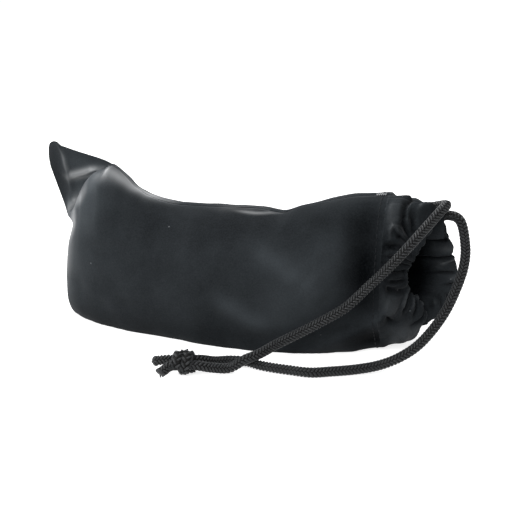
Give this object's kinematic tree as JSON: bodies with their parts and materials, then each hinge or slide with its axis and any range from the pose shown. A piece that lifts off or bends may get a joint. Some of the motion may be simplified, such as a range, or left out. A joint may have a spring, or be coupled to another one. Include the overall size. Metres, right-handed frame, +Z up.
{
  "type": "drawstring glasses pouch",
  "caption": "Soft cloth pouch for glasses with a gathered drawstring mouth, lying full on its long edge, its braided cord knotted in front.",
  "frame": {"origin": "middle of the pouch's box without the loose cord, at the surface it lies on", "axes": "+X from the sewn end towards the mouth, -Y towards the front panel, +Z up"},
  "size_m": [0.1971, 0.0884, 0.0803],
  "materials": {
    "cloth": "matt brushed microfibre",
    "seam": "overlocked edge",
    "thread": "sewing thread",
    "cord": "round braid"
  },
  "bodies": {
    "pouch": {"front_panel": "cloth", "back_panel": "cloth", "upper_seam": "seam", "lower_seam": "seam", "end_seam": "seam", "exit_bartack": "thread", "casing_topstitch_front": "thread", "casing_topstitch_back": "thread"},
    "mouth_front": {"casing_front": "cloth", "drawcord_in_front_casing": "cord"},
    "mouth_back": {"casing_back": "cloth", "drawcord_in_back_casing": "cord"},
    "drawcord": {"drawcord_front_strand": "cord", "drawcord_side_strand": "cord", "drawcord_knot": "cord", "drawcord_tail_a": "cord", "drawcord_tail_b": "cord"}
  },
  "joints": [
    {"name": "drawcord_pull", "type": "slide", "parent": "pouch", "child": "drawcord", "axis": [0.9808, 0.195, 0], "range_m": [-0.006, 0.006]},
    {"name": "mouth_front_gather", "type": "slide", "parent": "pouch", "child": "mouth_front", "axis": [0, 1, 0], "range_m": [-0.003, 0.003]},
    {"name": "mouth_back_gather", "type": "slide", "parent": "pouch", "child": "mouth_back", "axis": [0, -1, 0], "range_m": [-0.003, 0.003]}
  ],
  "couplings": [
    {"joint": "mouth_front_gather", "follows": "drawcord_pull", "ratio": 0.5},
    {"joint": "mouth_back_gather", "follows": "drawcord_pull", "ratio": 0.5}
  ]
}
